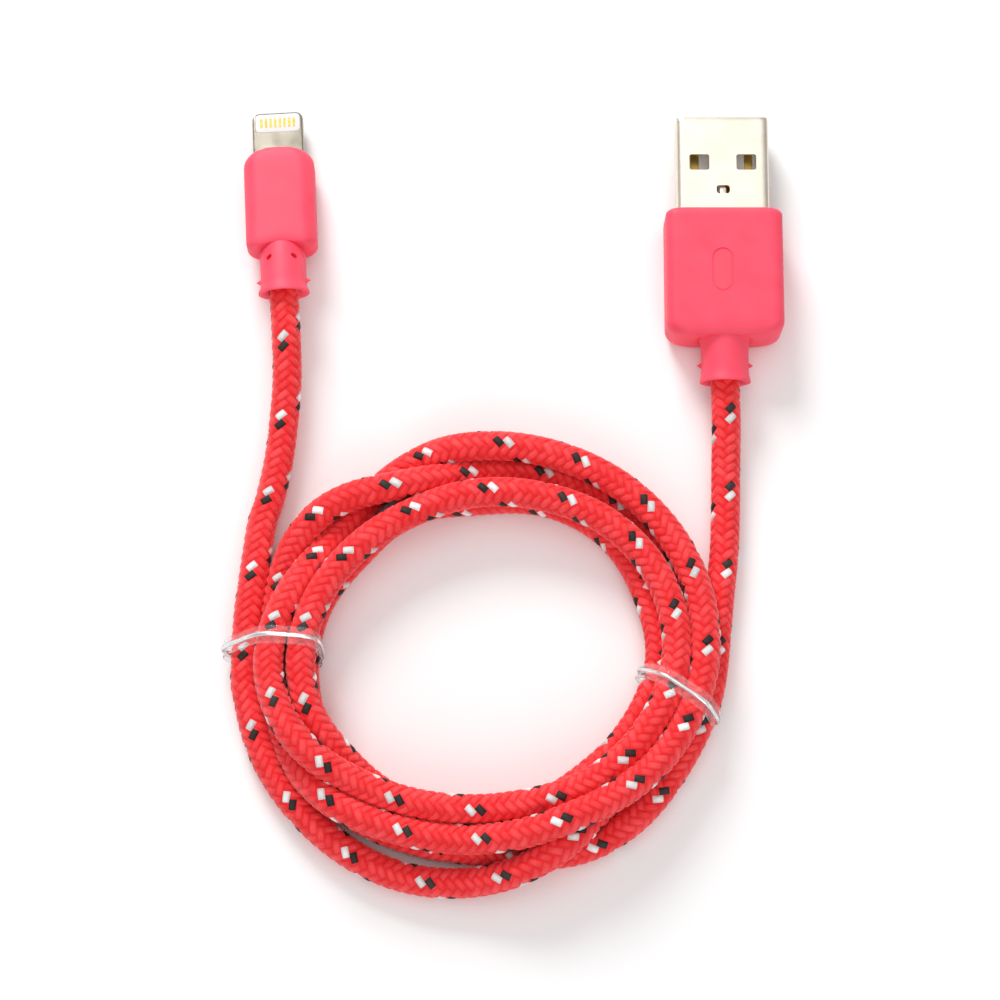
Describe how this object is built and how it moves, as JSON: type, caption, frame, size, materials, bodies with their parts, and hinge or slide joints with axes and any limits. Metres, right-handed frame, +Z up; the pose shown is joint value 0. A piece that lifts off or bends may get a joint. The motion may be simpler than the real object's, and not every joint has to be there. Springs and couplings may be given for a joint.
{
  "type": "charging cable",
  "caption": "Braided phone charging cable wound in a round coil held by clear wire ties, with a rectangular charger plug and a slim flat phone plug.",
  "frame": {"origin": "on the surface the cable lies on, under the middle of the box round its plugs", "axes": "+Y the way both plugs point, +X from the phone plug to the charger plug, +Z up"},
  "size_m": [0.0715, 0.1039, 0.0087],
  "materials": {
    "nickel": "satin nickel plate",
    "gold": "polished gold plate",
    "housing_plastic": "soft moulded, satin",
    "white_plastic": "satin white",
    "tongue_plastic": "moulded",
    "mould_plastic": "moulded",
    "board": "green board",
    "chip": "moulded",
    "braid": "braided yarn",
    "clear_sleeve": "clear, glossy",
    "tie_wire": "bright wire",
    "insulation_red": "wire insulation",
    "insulation_white": "wire insulation",
    "insulation_green": "wire insulation",
    "insulation_black": "wire insulation"
  },
  "bodies": {
    "root": {"charger_plug_shell": "nickel", "charger_plug_tongue": "tongue_plastic", "charger_contact_power": "gold", "charger_contact_data_minus": "gold", "charger_contact_data_plus": "gold", "charger_contact_ground": "gold", "charger_plug_inner_mould": "mould_plastic", "charger_plug_housing": "housing_plastic", "charger_wire_red": "insulation_red", "charger_wire_white": "insulation_white", "charger_wire_green": "insulation_green", "charger_wire_black": "insulation_black", "phone_plug_tab_frame": "nickel", "phone_plug_insert": "white_plastic", "phone_contact_top_1": "gold", "phone_contact_top_2": "gold", "phone_contact_top_3": "gold", "phone_contact_top_4": "gold", "phone_contact_top_5": "gold", "phone_contact_top_6": "gold", "phone_contact_top_7": "gold", "phone_contact_top_8": "gold", "phone_contact_bottom_1": "gold", "phone_contact_bottom_2": "gold", "phone_contact_bottom_3": "gold", "phone_contact_bottom_4": "gold", "phone_contact_bottom_5": "gold", "phone_contact_bottom_6": "gold", "phone_contact_bottom_7": "gold", "phone_contact_bottom_8": "gold", "phone_plug_board": "board", "phone_plug_chip": "chip", "phone_plug_inner_mould": "mould_plastic", "phone_plug_housing": "housing_plastic", "phone_wire_red": "insulation_red", "phone_wire_white": "insulation_white", "phone_wire_green": "insulation_green", "phone_wire_black": "insulation_black", "cord_coil": "braid", "cord_phone_lead": "braid", "cord_charger_lead": "braid", "tie_left_sleeve": "clear_sleeve", "tie_left_wire": "tie_wire", "tie_right_sleeve": "clear_sleeve", "tie_right_wire": "tie_wire"}
  },
  "joints": []
}
